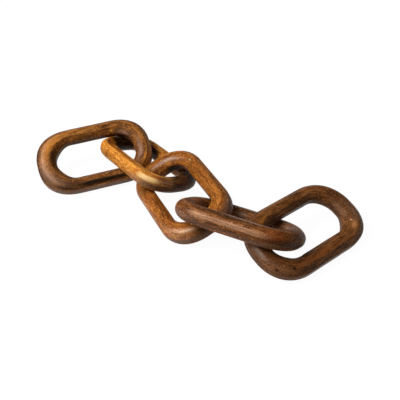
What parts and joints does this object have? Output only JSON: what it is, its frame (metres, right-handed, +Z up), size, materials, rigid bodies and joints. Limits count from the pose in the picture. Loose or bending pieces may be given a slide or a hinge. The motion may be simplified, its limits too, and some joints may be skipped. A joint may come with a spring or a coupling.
{
  "type": "whimsy carved chain",
  "caption": "Chain of interlocked oblong links whittled from a single length of wood, each link loose in the next, lying on its side in a slack zigzag.",
  "frame": {"origin": "on the table, under the middle of the chain's bounding box", "axes": "+X along the chain's run from the first link to the fifth, +Y across it, +Z up from the table"},
  "size_m": [0.3656, 0.141, 0.0514],
  "materials": {
    "brown_wood": "waxed, satin, mid brown",
    "golden_wood": "waxed, satin, golden brown",
    "amber_wood": "waxed, satin, orange brown",
    "russet_wood": "waxed, satin, reddish brown",
    "dark_wood": "waxed, satin, dark brown"
  },
  "bodies": {
    "root": {"first_link": "brown_wood", "second_link": "golden_wood", "third_link": "amber_wood", "fourth_link": "russet_wood", "fifth_link": "dark_wood"}
  },
  "joints": []
}
